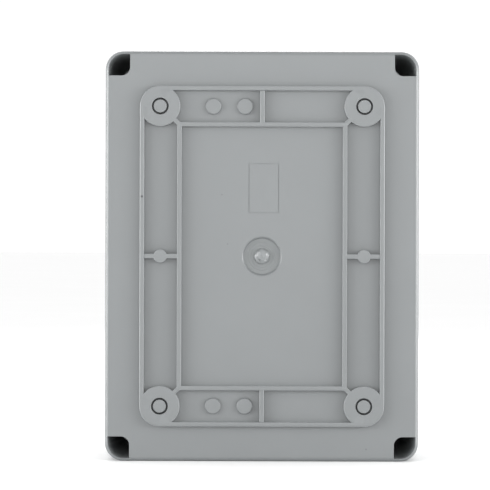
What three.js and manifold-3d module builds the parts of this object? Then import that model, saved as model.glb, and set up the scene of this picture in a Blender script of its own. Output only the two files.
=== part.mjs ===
// Screw-lid electrical junction box with a rail of terminals inside.
//
// Units are millimetres and +Z is up. The box stands on its short lower side: +X runs across it,
// the wall-mounting back faces -Y and the lid faces +Y. The origin is under the middle of the box,
// on the surface that it stands on.

import * as THREE from 'three';
import { mergeVertices } from 'three/addons/utils/BufferGeometryUtils.js';
import Module from 'manifold-3d';

const wasm = await Module();
wasm.setup();

// ---------------------------------------------------------------------------------------------
// Driving dimensions
// ---------------------------------------------------------------------------------------------

// Enclosure
const WIDTH = 153;
const HEIGHT = 200;
const DEPTH = 100;
const WALL = 3;
const CORNER_RADIUS = 9;
const BACK_FILLET = 2.2;
const LID_FILLET = 3;
const PARTING_Y = 24;
const LID_GAP = 0.1;
const PANEL = { rise: 1.5, inset: 7, notch: 9.5 };
const LID_RECESS = { inset: 13, radius: 4 };

// Corner columns, which are hollow at the back and carry the lid screws at the front
const POCKET = 10.5;
const SKIRT = 1.45;
const POCKET_INNER_RADIUS = 4.1;
const COLUMN_WALL = 2.5;
const COLUMN_BLOCK = 29;
const SCREW_INSET = 7.3;

// Raised frame of ribs on the back
const RIB_HEIGHT = 3.5;
const RIB = 2.2;
const OUTER_FRAME = { halfX: 59.6, halfZ: 82.8 };
const INNER_FRAME = { halfX: 41.4, halfZ: 65.3 };
const FIXING = { x: 49.7, z: 73, discRadius: 9.9, grooveRadius: 4.05, plugRadius: 3.2, skin: 0.8 };
const MID_BOSS_RADIUS = 3.25;
const PAD = { radius: 3.9, height: 1.6, xs: [-23.8, -8.4], z: 73 };
const GATE_DISH = { radius: 9.6, depth: 1.1, stubRadius: 3.3, stubRise: 0.9 };

// Seal between base and lid
const BEAD = { width: 0.8, height: 0.6 };
const SEAL_GROOVE = { width: 2, depth: 2.2 };
const SEAL_GAP = 0.1;

// Lid screws (M4), their captive washers and the brass inserts that they turn in
const LID_SCREW = { head: 4.3, headHeight: 4, edge: 0.8, shank: 1.95, neck: 1.55, length: 40, seatY: 40 };
const LID_SCREW_CROSS = { length: 5.2, width: 1.1, depth: 2.4 };
const LID_SCREW_HOLE = 2.4;
const COUNTERBORE = 4.8;
const WASHER = { outer: 3.7, inner: 1.75, thickness: 1, y: 11.5 };
const INSERT = { outer: 3, waist: 2.65, inner: 2.15, length: 11, frontY: 10 };
const COLUMN_BORE = 4.5;

// Rail (35 x 7.5 top hat) on two posts
const POST = { height: 8, radius: 5, pilot: 1.7, x: 49.6 };
const RAIL = { width: 35, depth: 7.5, web: 27, sheet: 1, length: 118, slotPitch: 24.8 };
const RAIL_SLOT = { length: 15, width: 6.2 };
const RAIL_SCREW = { head: 4, headHeight: 2.4, shank: 1.5, length: 7.5 };
const RAIL_SCREW_CROSS = { length: 4, width: 0.9, depth: 1.5 };
const ACCESSORY_POST = { radius: 3.4, height: 8, pilot: 1.3 };
const COLLAR = { outer: 8, inner: 4.6, height: 3 };

// Terminals (10 mm2, rising cage), clipped side by side on the rail
const TERMINAL = { width: 10, pitch: 10.2, sideWall: 1.2, clampZ: 14.2 };
const TERMINALS = [
  { name: 'terminal_l1', colour: '#8f9494' },
  { name: 'terminal_l2', colour: '#8f9494' },
  { name: 'terminal_l3', colour: '#8f9494' },
  { name: 'terminal_neutral', colour: '#2f6fae' },
  { name: 'terminal_earth', colour: '#6fa03c', earthed: true },
];
const TERMINAL_SIDE = [
  [21, 7.5], [23.75, 9], [23.75, 26], [20.5, 31], [20.5, 38.5], [7.5, 38.5], [6, 41], [6, 44.5],
];
const CAGE = {
  width: 7, length: 7.4, bottom: 10.5, height: 11.2, floor: 1.5, roof: 2.7, side: 0.8, thread: 2.2,
};
const BAR = { width: 5, thickness: 1.5, halfLength: 18.6, bottom: 16.9 };
const CLAMP_SCREW = { head: 2.9, headBottom: 32, headHeight: 3.2, shank: 1.95 };
const CHAMBER = { halfLength: 4.2, bottom: 9.6, top: 27.6 };
const ENTRY_RADIUS = 3;
const MARKER = { halfWidth: 4.6, halfLength: 4.3, bottom: 42.1, top: 44.9 };
const CONTACT = { flangeOverlap: 0.5, foot: 1.4, halfStem: 3 };
const END_COVER = 2;
const END_STOP = { width: 8, height: 24, screwSeat: 14, headBore: 3.2, shankBore: 1.8 };
const END_STOP_SIDE = [[19.5, 4], [16, 18], [10, 24]];
const END_STOP_SCREW = { head: 2.9, headHeight: 3, shank: 1.6, length: 13.8 };
const SLOT = { width: 1, depth: 1.6 };

// Gaps between fixed neighbours and round the metal parts, and how far raised shapes reach into a wall
const FIT = 0.1;
const CLEARANCE = 0.3;
const ROOT = 0.5;

// Sides of the round shapes, and steps of the arcs in outlines (each arc gets twice as many)
const FINE_SIDES = 24;
const SIDES = 16;
const SMALL_SIDES = 10;
const CORNER_STEPS = 3;
const NOTCH_STEPS = 2;

// ---------------------------------------------------------------------------------------------
// Derived places
// ---------------------------------------------------------------------------------------------

const BACK_Y = -DEPTH / 2;
const FIELD_Y = BACK_Y + RIB_HEIGHT;
const FLOOR_Y = FIELD_Y + WALL;
const FRONT_Y = DEPTH / 2;
const LID_FIELD_Y = FRONT_Y - PANEL.rise;
const LID_BACK_Y = PARTING_Y + LID_GAP;
const LID_CEILING_Y = LID_FIELD_Y - WALL;
const CAVITY = { halfX: WIDTH / 2 - WALL, halfZ: HEIGHT / 2 - WALL };
const NOTCH = SKIRT + POCKET + COLUMN_WALL - WALL;
const COLUMN_RADIUS = POCKET_INNER_RADIUS + COLUMN_WALL;
const CAVITY_RADIUS = 2;
const SCREW = { x: WIDTH / 2 - SCREW_INSET, z: HEIGHT / 2 - SCREW_INSET };
const RAIL_BACK_Y = FLOOR_Y + POST.height + FIT;
const FLANGE_Y = RAIL_BACK_Y + RAIL.depth;
const CORNERS = [
  { name: 'top_left', x: -1, z: 1 },
  { name: 'top_right', x: 1, z: 1 },
  { name: 'bottom_left', x: -1, z: -1 },
  { name: 'bottom_right', x: 1, z: -1 },
];

// ---------------------------------------------------------------------------------------------
// Solids
// ---------------------------------------------------------------------------------------------

function toSolid(geometry) {
  geometry.deleteAttribute('normal');
  geometry.deleteAttribute('uv');
  const merged = mergeVertices(geometry);
  return new wasm.Manifold(new wasm.Mesh({
    numProp: 3,
    vertProperties: merged.attributes.position.array,
    triVerts: Uint32Array.from(merged.index.array),
  }));
}

function toGeometry(solid) {
  const mesh = solid.getMesh();
  const geometry = new THREE.BufferGeometry();
  geometry.setAttribute('position', new THREE.BufferAttribute(mesh.vertProperties, 3));
  geometry.setIndex(new THREE.BufferAttribute(mesh.triVerts, 1));
  geometry.computeVertexNormals();
  return geometry;
}

function addAll(solid, others) {
  return others.reduce((sum, other) => sum.add(other), solid);
}

function cutAll(solid, others) {
  return others.reduce((rest, other) => rest.subtract(other), solid);
}

// A box between two corners.
function block([x0, y0, z0], [x1, y1, z1]) {
  const geometry = new THREE.BoxGeometry(x1 - x0, y1 - y0, z1 - z0);
  geometry.translate((x0 + x1) / 2, (y0 + y1) / 2, (z0 + z1) / 2);
  return toSolid(geometry);
}

// A round bar along Y.
function rod(radius, backY, frontY, x = 0, z = 0, sides = SIDES) {
  const geometry = new THREE.CylinderGeometry(radius, radius, frontY - backY, sides);
  geometry.translate(x, (backY + frontY) / 2, z);
  return toSolid(geometry);
}

// A shape in the X-Z plane, given depth along Y.
function plate(shape, backY, frontY, curveSegments = CORNER_STEPS) {
  const options = { depth: frontY - backY, bevelEnabled: false, curveSegments };
  const geometry = new THREE.ExtrudeGeometry(shape, options);
  geometry.rotateX(Math.PI / 2);
  geometry.translate(0, frontY, 0);
  return toSolid(geometry);
}

// A rounded slab whose back and front edges are rounded by the same fillet.
function filletedSlab(halfX, halfZ, radius, backY, frontY, fillet) {
  const core = roundedRect(halfX - fillet, halfZ - fillet, radius - fillet);
  const geometry = new THREE.ExtrudeGeometry(core, {
    depth: frontY - backY - 2 * fillet,
    bevelThickness: fillet,
    bevelSize: fillet,
    bevelSegments: 2,
    curveSegments: CORNER_STEPS,
  });
  geometry.rotateX(Math.PI / 2);
  geometry.translate(0, frontY - fillet, 0);
  return toSolid(geometry);
}

// A side profile of [z, y] points, given width along X.
function section(points, leftX, rightX) {
  const shape = new THREE.Shape(points.map(([z, y]) => new THREE.Vector2(-z, y)));
  const options = { depth: rightX - leftX, bevelEnabled: false };
  const geometry = new THREE.ExtrudeGeometry(shape, options);
  geometry.rotateY(Math.PI / 2);
  geometry.translate(leftX, 0, 0);
  return toSolid(geometry);
}

// A turned solid on the Y axis from [radius, y] points listed upwards on the outside.
function turned(points, sides) {
  const outline = points.map(([radius, y]) => new THREE.Vector2(radius, y));
  return toSolid(new THREE.LatheGeometry(outline, sides));
}

// ---------------------------------------------------------------------------------------------
// Outlines
// ---------------------------------------------------------------------------------------------

function roundedRect(halfX, halfZ, radius) {
  const shape = new THREE.Shape();
  shape.absarc(halfX - radius, halfZ - radius, radius, 0, Math.PI / 2);
  shape.absarc(radius - halfX, halfZ - radius, radius, Math.PI / 2, Math.PI);
  shape.absarc(radius - halfX, radius - halfZ, radius, Math.PI, 1.5 * Math.PI);
  shape.absarc(halfX - radius, radius - halfZ, radius, 1.5 * Math.PI, 2 * Math.PI);
  shape.closePath();
  return shape;
}

function rectangle(halfX, halfZ) {
  const corners = [[halfX, -halfZ], [halfX, halfZ], [-halfX, halfZ], [-halfX, -halfZ]];
  return new THREE.Shape(corners.map(([x, z]) => new THREE.Vector2(x, z)));
}

// The outline of the sealed space: a rectangle that steps in round the four corner columns.
// It is moved outwards by offset, which keeps every wall beside it parallel.
function notchedOutline(offset, halfX = CAVITY.halfX, halfZ = CAVITY.halfZ, notch = NOTCH) {
  const x = halfX + offset;
  const z = halfZ + offset;
  const side = CAVITY_RADIUS + offset;
  const column = COLUMN_RADIUS - offset;
  const shape = new THREE.Shape();
  for (const [turn, sx, sz] of [[0, 1, 1], [1, -1, 1], [2, -1, -1], [3, 1, -1]]) {
    const a = turn * Math.PI / 2;
    const quarter = Math.PI / 2;
    const besideX = [sx * (x - side), sz * (z - notch - side)];
    const inColumn = [sx * (x - notch + column), sz * (z - notch + column)];
    const besideZ = [sx * (x - notch - side), sz * (z - side)];
    const order = turn % 2 === 0 ? [besideX, besideZ] : [besideZ, besideX];
    shape.absarc(...order[0], side, a, a + quarter);
    shape.absarc(...inColumn, column, a - quarter, a - 2 * quarter, true);
    shape.absarc(...order[1], side, a, a + quarter);
  }
  shape.closePath();
  return shape;
}

// One corner pocket: its outer side follows the box corner and its inner corner is round.
function pocketOutline(corner) {
  const far = POCKET;
  const outerRadius = CORNER_RADIUS - SKIRT;
  const inner = POCKET_INNER_RADIUS;
  const shape = new THREE.Shape();
  shape.moveTo(far, 0);
  shape.absarc(far - outerRadius, far - outerRadius, outerRadius, 0, Math.PI / 2);
  shape.lineTo(0, far);
  shape.absarc(inner, inner, inner, Math.PI, 1.5 * Math.PI);
  shape.closePath();
  const x = WIDTH / 2 - SKIRT - POCKET;
  const z = HEIGHT / 2 - SKIRT - POCKET;
  const points = shape.getPoints(CORNER_STEPS).map(
    (point) => new THREE.Vector2(corner.x * (point.x + x), corner.z * (point.y + z)),
  );
  if (corner.x * corner.z < 0) points.reverse();
  return new THREE.Shape(points);
}

function ring(outline, hole, backY, frontY, steps = CORNER_STEPS) {
  return plate(outline, backY, frontY, steps).subtract(plate(hole, backY - 1, frontY + 1, steps));
}

// ---------------------------------------------------------------------------------------------
// Enclosure base
// ---------------------------------------------------------------------------------------------

// The double frame on the back, with its discs, corner webs, cross ribs and pads.
function backRibs() {
  const root = FIELD_Y + ROOT;
  const { halfX, halfZ } = OUTER_FRAME;
  const radius = FIXING.discRadius;
  const inner = INNER_FRAME;
  const ribs = [
    ring(roundedRect(halfX, halfZ, radius), roundedRect(halfX - RIB, halfZ - RIB, radius - RIB),
      BACK_Y, root),
    ring(rectangle(inner.halfX, inner.halfZ), rectangle(inner.halfX - RIB, inner.halfZ - RIB),
      BACK_Y, root),
  ];
  for (const { x, z } of CORNERS) {
    ribs.push(rod(radius, BACK_Y, root, x * FIXING.x, z * FIXING.z, FINE_SIDES));
    ribs.push(cornerWeb(x, z, root));
  }
  for (const side of [-1, 1]) {
    const strip = [side * (halfX - RIB), side * (inner.halfX - RIB / 2)].sort((a, b) => a - b);
    ribs.push(block([strip[0], BACK_Y, -RIB / 2], [strip[1], root, RIB / 2]));
    ribs.push(rod(MID_BOSS_RADIUS, BACK_Y, root, side * POST.x, 0));
    const band = [side * (halfZ - RIB), side * (inner.halfZ - RIB / 2)].sort((a, b) => a - b);
    ribs.push(block([-RIB / 2, BACK_Y, band[0]], [RIB / 2, root, band[1]]));
    for (const x of PAD.xs) {
      ribs.push(rod(PAD.radius, FIELD_Y - PAD.height, root, x, side * PAD.z));
    }
  }
  return ribs;
}

// A short rib at 45 degrees between a disc and the nearest corner of the inner frame.
function cornerWeb(x, z, root) {
  const start = new THREE.Vector2(x * (INNER_FRAME.halfX - RIB / 2), z * (INNER_FRAME.halfZ - RIB / 2));
  const end = new THREE.Vector2(x * (FIXING.x - 2), z * (FIXING.z - 2));
  const length = start.distanceTo(end);
  const geometry = new THREE.BoxGeometry(length, root - BACK_Y, RIB);
  geometry.rotateY(-Math.atan2(end.y - start.y, end.x - start.x));
  geometry.translate((start.x + end.x) / 2, (root + BACK_Y) / 2, (start.y + end.y) / 2);
  return toSolid(geometry);
}

// Everything that is hollow in one corner: the pocket, the screw bore and the seat of its insert.
function cornerHollows(corner) {
  const x = corner.x * SCREW.x;
  const z = corner.z * SCREW.z;
  const insertBackY = INSERT.frontY - INSERT.length;
  return [
    plate(pocketOutline(corner), FIELD_Y - 1, PARTING_Y - COLUMN_BLOCK),
    rod(COLUMN_BORE, INSERT.frontY + ROOT, PARTING_Y + 1, x, z),
    rod(INSERT.outer + FIT, insertBackY - FIT, INSERT.frontY + 1, x, z),
  ];
}

// The ring groove that leaves a knock-out plug on a thin skin, and the dished gate mark.
function backHollows() {
  const grooveY = FLOOR_Y - FIXING.skin;
  const cuts = CORNERS.map(({ x, z }) => {
    const groove = rod(FIXING.grooveRadius, BACK_Y - 1, grooveY, x * FIXING.x, z * FIXING.z, FINE_SIDES);
    return groove.subtract(
      rod(FIXING.plugRadius, BACK_Y - 2, grooveY + 1, x * FIXING.x, z * FIXING.z, FINE_SIDES),
    );
  });
  const { radius, depth, stubRadius, stubRise } = GATE_DISH;
  cuts.push(turned([
    [0, FIELD_Y - 1],
    [radius, FIELD_Y - 1],
    [radius, FIELD_Y],
    [radius * 0.8, FIELD_Y + depth * 0.7],
    [stubRadius, FIELD_Y + depth],
    [stubRadius * 0.9, FIELD_Y + depth - stubRise],
    [0, FIELD_Y + depth - stubRise],
  ], FINE_SIDES));
  return cuts;
}

// Posts and fixing bosses that stand on the inner floor.
function innerBosses() {
  const root = FLOOR_Y - ROOT;
  const bosses = [];
  for (const side of [-1, 1]) {
    const post = rod(POST.radius, root, FLOOR_Y + POST.height, side * POST.x, 0);
    bosses.push(post.subtract(rod(POST.pilot, FLOOR_Y - CLEARANCE, FRONT_Y, side * POST.x, 0, SMALL_SIDES)));
    for (const x of PAD.xs) {
      const z = side * PAD.z;
      const spare = rod(ACCESSORY_POST.radius, root, FLOOR_Y + ACCESSORY_POST.height, x, z);
      bosses.push(spare.subtract(rod(ACCESSORY_POST.pilot, FLOOR_Y, FRONT_Y, x, z, SMALL_SIDES)));
    }
  }
  for (const { x, z } of CORNERS) {
    const collar = rod(COLLAR.outer, root, FLOOR_Y + COLLAR.height, x * FIXING.x, z * FIXING.z);
    bosses.push(collar.subtract(rod(COLLAR.inner, FLOOR_Y, FRONT_Y, x * FIXING.x, z * FIXING.z)));
  }
  return bosses;
}

function enclosureBase() {
  const slab = filletedSlab(
    WIDTH / 2, HEIGHT / 2, CORNER_RADIUS, FIELD_Y, PARTING_Y + BACK_FILLET, BACK_FILLET,
  );
  const beyond = block([-WIDTH, PARTING_Y, -HEIGHT], [WIDTH, FRONT_Y, HEIGHT]);
  const cavity = plate(notchedOutline(0), FLOOR_Y, PARTING_Y + 1, NOTCH_STEPS);
  const seal = WALL / 2;
  const bead = ring(
    notchedOutline(seal + BEAD.width / 2), notchedOutline(seal - BEAD.width / 2),
    PARTING_Y - ROOT, PARTING_Y + BEAD.height, NOTCH_STEPS,
  );
  const shell = slab.subtract(beyond).subtract(cavity);
  const solid = addAll(shell, [...backRibs(), ...innerBosses(), bead]);
  return cutAll(solid, [...CORNERS.flatMap(cornerHollows), ...backHollows()]);
}

// ---------------------------------------------------------------------------------------------
// Lid and seal
// ---------------------------------------------------------------------------------------------

function lid() {
  const slab = filletedSlab(
    WIDTH / 2, HEIGHT / 2, CORNER_RADIUS, LID_BACK_Y - LID_FILLET, LID_FIELD_Y, LID_FILLET,
  );
  const beyond = block([-WIDTH, BACK_Y, -HEIGHT], [WIDTH, LID_BACK_Y, HEIGHT]);
  const panel = plate(
    notchedOutline(0, WIDTH / 2 - PANEL.inset, HEIGHT / 2 - PANEL.inset, PANEL.notch),
    LID_FIELD_Y - 1, FRONT_Y, NOTCH_STEPS,
  );
  const seal = WALL / 2;
  const groove = ring(
    notchedOutline(seal + SEAL_GROOVE.width / 2), notchedOutline(seal - SEAL_GROOVE.width / 2),
    LID_BACK_Y - 1, LID_BACK_Y + SEAL_GROOVE.depth, NOTCH_STEPS,
  );
  const cuts = [
    beyond,
    plate(notchedOutline(0), LID_BACK_Y - 1, LID_CEILING_Y, NOTCH_STEPS),
    plate(
      roundedRect(CAVITY.halfX - LID_RECESS.inset, CAVITY.halfZ - LID_RECESS.inset, LID_RECESS.radius),
      LID_CEILING_Y - 1, FRONT_Y - WALL,
    ),
    groove,
  ];
  for (const { x, z } of CORNERS) {
    cuts.push(rod(LID_SCREW_HOLE, LID_BACK_Y - 1, FRONT_Y, x * SCREW.x, z * SCREW.z));
    cuts.push(rod(COUNTERBORE, LID_SCREW.seatY - FIT, FRONT_Y + 1, x * SCREW.x, z * SCREW.z));
  }
  return cutAll(slab.add(panel), cuts);
}

function gasket() {
  const seal = WALL / 2;
  const half = SEAL_GROOVE.width / 2 - SEAL_GAP;
  return ring(
    notchedOutline(seal + half), notchedOutline(seal - half),
    PARTING_Y + BEAD.height + SEAL_GAP, LID_BACK_Y + SEAL_GROOVE.depth - SEAL_GAP, NOTCH_STEPS,
  );
}

// ---------------------------------------------------------------------------------------------
// Fasteners, each turned about its own Y axis with the underside of its head at y = 0
// ---------------------------------------------------------------------------------------------

function crossRecess(headHeight, { length, width, depth }) {
  const top = headHeight + 1;
  const low = headHeight - depth;
  return [
    block([-length / 2, low, -width / 2], [length / 2, top, width / 2]),
    block([-width / 2, low, -length / 2], [width / 2, top, length / 2]),
  ];
}

function lidScrew() {
  const { head, headHeight, edge, shank, neck, length } = LID_SCREW;
  const neckTop = WASHER.y + WASHER.thickness + 0.5 - LID_SCREW.seatY;
  const neckLow = WASHER.y - 0.5 - LID_SCREW.seatY;
  const body = turned([
    [0, -length],
    [shank * 0.7, -length],
    [shank, 1 - length],
    [shank, neckLow],
    [neck, neckLow],
    [neck, neckTop],
    [shank, neckTop],
    [shank, 0],
    [head, 0],
    [head, headHeight - edge],
    [head - edge, headHeight],
    [0, headHeight],
  ], SIDES);
  return cutAll(body, crossRecess(headHeight, LID_SCREW_CROSS));
}

function washer() {
  const { outer, inner, thickness } = WASHER;
  return turned([
    [inner, 0],
    [outer, 0],
    [outer, thickness],
    [inner, thickness],
    [inner, 0],
  ], SIDES);
}

function threadedInsert() {
  const { outer, waist, inner, length } = INSERT;
  return turned([
    [inner, -length],
    [outer, -length],
    [outer, -length * 0.62],
    [waist, -length * 0.58],
    [waist, -length * 0.42],
    [outer, -length * 0.38],
    [outer, 0],
    [inner, 0],
    [inner, -length],
  ], SIDES);
}

function railScrew() {
  const { head, headHeight, shank, length } = RAIL_SCREW;
  const body = turned([
    [0, -length],
    [shank * 0.5, 0.8 - length],
    [shank, 2 - length],
    [shank, 0],
    [head, 0],
    [head * 0.9, headHeight * 0.6],
    [head * 0.6, headHeight],
    [0, headHeight],
  ], SMALL_SIDES);
  return cutAll(body, crossRecess(headHeight, RAIL_SCREW_CROSS));
}

function slottedScrew({ head, headHeight, shank, length }) {
  const body = turned([
    [0, -length],
    [shank * 0.75, -length],
    [shank, 0.8 - length],
    [shank, 0],
    [head, 0],
    [head, headHeight - 0.4],
    [head - 0.4, headHeight],
    [0, headHeight],
  ], SMALL_SIDES);
  const slot = block(
    [-head - 1, headHeight - SLOT.depth, -SLOT.width / 2], [head + 1, headHeight + 1, SLOT.width / 2],
  );
  return body.subtract(slot);
}

// ---------------------------------------------------------------------------------------------
// Rail
// ---------------------------------------------------------------------------------------------

function rail() {
  const { width, depth, web, sheet, length, slotPitch } = RAIL;
  const outline = (side) => [
    [side * web / 2, 0],
    [side * web / 2, depth - sheet],
    [side * width / 2, depth - sheet],
    [side * width / 2, depth],
    [side * (web / 2 - sheet), depth],
    [side * (web / 2 - sheet), sheet],
  ];
  const hat = section([...outline(1), ...outline(-1).reverse()], -length / 2, length / 2);
  const slots = [-2, -1, 0, 1, 2].map((step) => {
    const end = (RAIL_SLOT.length - RAIL_SLOT.width) / 2;
    const shape = new THREE.Shape();
    shape.absarc(step * slotPitch + end, 0, RAIL_SLOT.width / 2, -Math.PI / 2, Math.PI / 2);
    shape.absarc(step * slotPitch - end, 0, RAIL_SLOT.width / 2, Math.PI / 2, 1.5 * Math.PI);
    shape.closePath();
    return plate(shape, -1, sheet + 1);
  });
  return cutAll(hat, slots);
}

// ---------------------------------------------------------------------------------------------
// Terminals, with y measured from the front face of the rail's flanges
// ---------------------------------------------------------------------------------------------

// Half of a profile that hooks behind one flange of the rail, from the rail upwards.
function railHook() {
  const edge = RAIL.width / 2 + 0.3;
  const under = -RAIL.sheet - 0.3;
  return [
    [edge, FIT],
    [edge, under],
    [edge - 2.2, under],
    [edge - 2.2, under - 1.8],
    [edge + 0.8, under - 3],
    [edge + 3.2, under - 1.2],
  ];
}

function mirroredProfile(half) {
  return [...half, ...half.map(([z, y]) => [-z, y]).reverse()];
}

function terminalProfile() {
  return mirroredProfile([...railHook(), ...TERMINAL_SIDE]);
}

// The housing is open on its right side, where the next terminal or the end cover closes it.
function terminalHousing(earthed) {
  const left = -TERMINAL.width / 2;
  const right = TERMINAL.width / 2;
  const inside = left + TERMINAL.sideWall;
  const barEnd = BAR.halfLength + CLEARANCE;
  const barTop = BAR.bottom + BAR.thickness;
  const tagEnd = MARKER.halfLength + FIT;
  const cuts = [
    block([inside, BAR.bottom - CLEARANCE, -barEnd], [right + 1, barTop + CLEARANCE, barEnd]),
    block([left - 1, MARKER.bottom - FIT, -tagEnd], [right + 1, MARKER.top + FIT, tagEnd]),
  ];
  for (const side of [-1, 1]) {
    const z = side * TERMINAL.clampZ;
    cuts.push(block(
      [inside, CHAMBER.bottom, z - CHAMBER.halfLength], [right + 1, CHAMBER.top, z + CHAMBER.halfLength],
    ));
    const seat = CLAMP_SCREW.headBottom - 2 * FIT;
    cuts.push(rod(CLAMP_SCREW.head + CLEARANCE, seat, DEPTH, 0, z, SMALL_SIDES));
    cuts.push(rod(CLAMP_SCREW.shank + CLEARANCE, CHAMBER.top - 1, DEPTH, 0, z, SMALL_SIDES));
    cuts.push(wireEntry(side));
  }
  if (earthed) cuts.push(earthContactShape(CLEARANCE, right + 1));
  return cutAll(section(terminalProfile(), left, right), cuts);
}

// A round hole for the wire, from the end of the housing into the clamp chamber.
function wireEntry(side) {
  const from = TERMINAL.clampZ;
  const to = from + 11;
  const geometry = new THREE.CylinderGeometry(ENTRY_RADIUS, ENTRY_RADIUS, to - from, SMALL_SIDES);
  geometry.rotateX(Math.PI / 2);
  geometry.translate(0, (CAGE.bottom + CAGE.floor + BAR.bottom) / 2 - 0.2, side * (from + to) / 2);
  return toSolid(geometry);
}

// The clamp cage: a square steel ring round the bar and the wire, with a threaded roof.
function clampCage() {
  const { width, length, bottom, height, floor, roof, side, thread } = CAGE;
  const top = bottom + height;
  const outside = block([-width / 2, bottom, -length / 2], [width / 2, top, length / 2]);
  const window = block(
    [side - width / 2, bottom + floor, -length], [width / 2 - side, top - roof, length],
  );
  return outside.subtract(window).subtract(rod(thread, bottom + floor, top + 1, 0, 0, SMALL_SIDES));
}

function currentBar() {
  return block(
    [-BAR.width / 2, BAR.bottom, -BAR.halfLength],
    [BAR.width / 2, BAR.bottom + BAR.thickness, BAR.halfLength],
  );
}

function markerTag() {
  const { halfWidth, halfLength, bottom, top } = MARKER;
  return block([-halfWidth, bottom, -halfLength], [halfWidth, top, halfLength]);
}

// The earth contact: a foot that rests on both flanges of the rail and a stem up to the bar.
// The same shape, grown by a gap, is the space for it in the housing.
function earthContactShape(gap = 0, right = BAR.width / 2) {
  const end = RAIL.width / 2 - CONTACT.flangeOverlap + gap;
  const stem = CONTACT.halfStem + gap;
  const points = mirroredProfile([
    [end, gap ? -1 : FIT / 2],
    [end, CONTACT.foot + gap],
    [stem, CONTACT.foot + gap],
    [stem, BAR.bottom - FIT + gap],
  ]);
  return section(points, -BAR.width / 2 - gap, right);
}

function endCover() {
  return section(terminalProfile(), 0, END_COVER);
}

function endStop() {
  const { width, height, screwSeat, headBore, shankBore } = END_STOP;
  const outline = mirroredProfile([...railHook(), ...END_STOP_SIDE]);
  return section(outline, -width / 2, width / 2)
    .subtract(rod(headBore, screwSeat, height + 1, 0, 0, SMALL_SIDES))
    .subtract(rod(shankBore, -RAIL.depth, height, 0, 0, SMALL_SIDES));
}

// ---------------------------------------------------------------------------------------------
// Materials
// ---------------------------------------------------------------------------------------------

function material(color, roughness, metalness = 0) {
  return new THREE.MeshStandardMaterial({ color, roughness, metalness });
}

const FINISHES = {
  enclosure: () => material('#a3a6a6', 0.62),
  seal: () => material('#2b2c2d', 0.85),
  screw: () => material('#c2c3c0', 0.32, 1),
  nylon: () => material('#dedbd0', 0.5),
  brass: () => material('#c9a557', 0.35, 1),
  rail: () => material('#b9bcbe', 0.38, 1),
  bar: () => material('#cfcdc6', 0.3, 1),
  cage: () => material('#a9adb1', 0.4, 1),
  cover: () => material('#8f9494', 0.5),
  marker: () => material('#eceae4', 0.55),
};

// ---------------------------------------------------------------------------------------------
// Assembly
// ---------------------------------------------------------------------------------------------

function part(name, solid, finish, x = 0, y = 0, z = 0) {
  const mesh = new THREE.Mesh(toGeometry(solid), finish);
  mesh.name = name;
  mesh.position.set(x, y, z);
  return mesh;
}

// The lid screws with their captive washers and inserts.
function lidFasteners() {
  const group = new THREE.Group();
  for (const corner of CORNERS) {
    const x = corner.x * SCREW.x;
    const z = corner.z * SCREW.z;
    group.add(
      part(`lid_screw_${corner.name}`, lidScrew(), FINISHES.screw(), x, LID_SCREW.seatY, z),
      part(`captive_washer_${corner.name}`, washer(), FINISHES.nylon(), x, WASHER.y, z),
      part(`threaded_insert_${corner.name}`, threadedInsert(), FINISHES.brass(), x, INSERT.frontY, z),
    );
  }
  return group;
}

function railAssembly() {
  const group = new THREE.Group();
  group.add(part('din_rail', rail(), FINISHES.rail(), 0, RAIL_BACK_Y, 0));
  for (const [name, side] of [['left', -1], ['right', 1]]) {
    const headY = RAIL_BACK_Y + RAIL.sheet + FIT / 2;
    group.add(part(`rail_screw_${name}`, railScrew(), FINISHES.screw(), side * POST.x, headY, 0));
  }
  return group;
}

// One terminal: housing, current bar, marker tag, and a cage and screw at each end.
function terminal({ name, colour, earthed }, x) {
  const group = new THREE.Group();
  group.position.set(x, FLANGE_Y, 0);
  group.add(
    part(`${name}_housing`, terminalHousing(earthed), material(colour, 0.5)),
    part(`${name}_bar`, currentBar(), FINISHES.bar()),
    part(`${name}_marker`, markerTag(), FINISHES.marker()),
  );
  for (const [end, side] of [['upper', 1], ['lower', -1]]) {
    const z = side * TERMINAL.clampZ;
    const { head, headBottom, headHeight, shank } = CLAMP_SCREW;
    const length = headBottom - BAR.bottom - BAR.thickness - CLEARANCE;
    const screw = slottedScrew({ head, headHeight, shank, length });
    group.add(
      part(`${name}_cage_${end}`, clampCage(), FINISHES.cage(), 0, 0, z),
      part(`${name}_screw_${end}`, screw, FINISHES.screw(), 0, headBottom, z),
    );
  }
  if (earthed) group.add(part(`${name}_contact`, earthContactShape(), FINISHES.bar()));
  return group;
}

// The row of terminals, centred on the rail, with its end cover and an end stop at each end.
function terminalRow() {
  const group = new THREE.Group();
  const rowWidth = TERMINALS.length * TERMINAL.pitch + END_COVER;
  const left = -rowWidth / 2;
  TERMINALS.forEach((kind, index) => {
    group.add(terminal(kind, left + TERMINAL.pitch * (index + 0.5)));
  });
  group.add(part('terminal_end_cover', endCover(), FINISHES.cover(), -left - END_COVER, FLANGE_Y, 0));
  for (const [name, side] of [['left', -1], ['right', 1]]) {
    const x = side * (rowWidth / 2 + END_STOP.width / 2 + CLEARANCE);
    const screwY = FLANGE_Y + END_STOP.screwSeat + FIT;
    const screw = slottedScrew(END_STOP_SCREW);
    group.add(part(`end_stop_${name}`, endStop(), FINISHES.cover(), x, FLANGE_Y, 0));
    group.add(part(`end_stop_screw_${name}`, screw, FINISHES.screw(), x, screwY, 0));
  }
  return group;
}

function junctionBox() {
  const box = new THREE.Group();
  box.position.set(0, 0, HEIGHT / 2);
  box.add(
    part('enclosure_base', enclosureBase(), FINISHES.enclosure()),
    part('lid', lid(), FINISHES.enclosure()),
    part('lid_gasket', gasket(), FINISHES.seal()),
    lidFasteners(),
    railAssembly(),
    terminalRow(),
  );
  const model = new THREE.Group();
  model.add(box);
  return model;
}

export default junctionBox();
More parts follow.
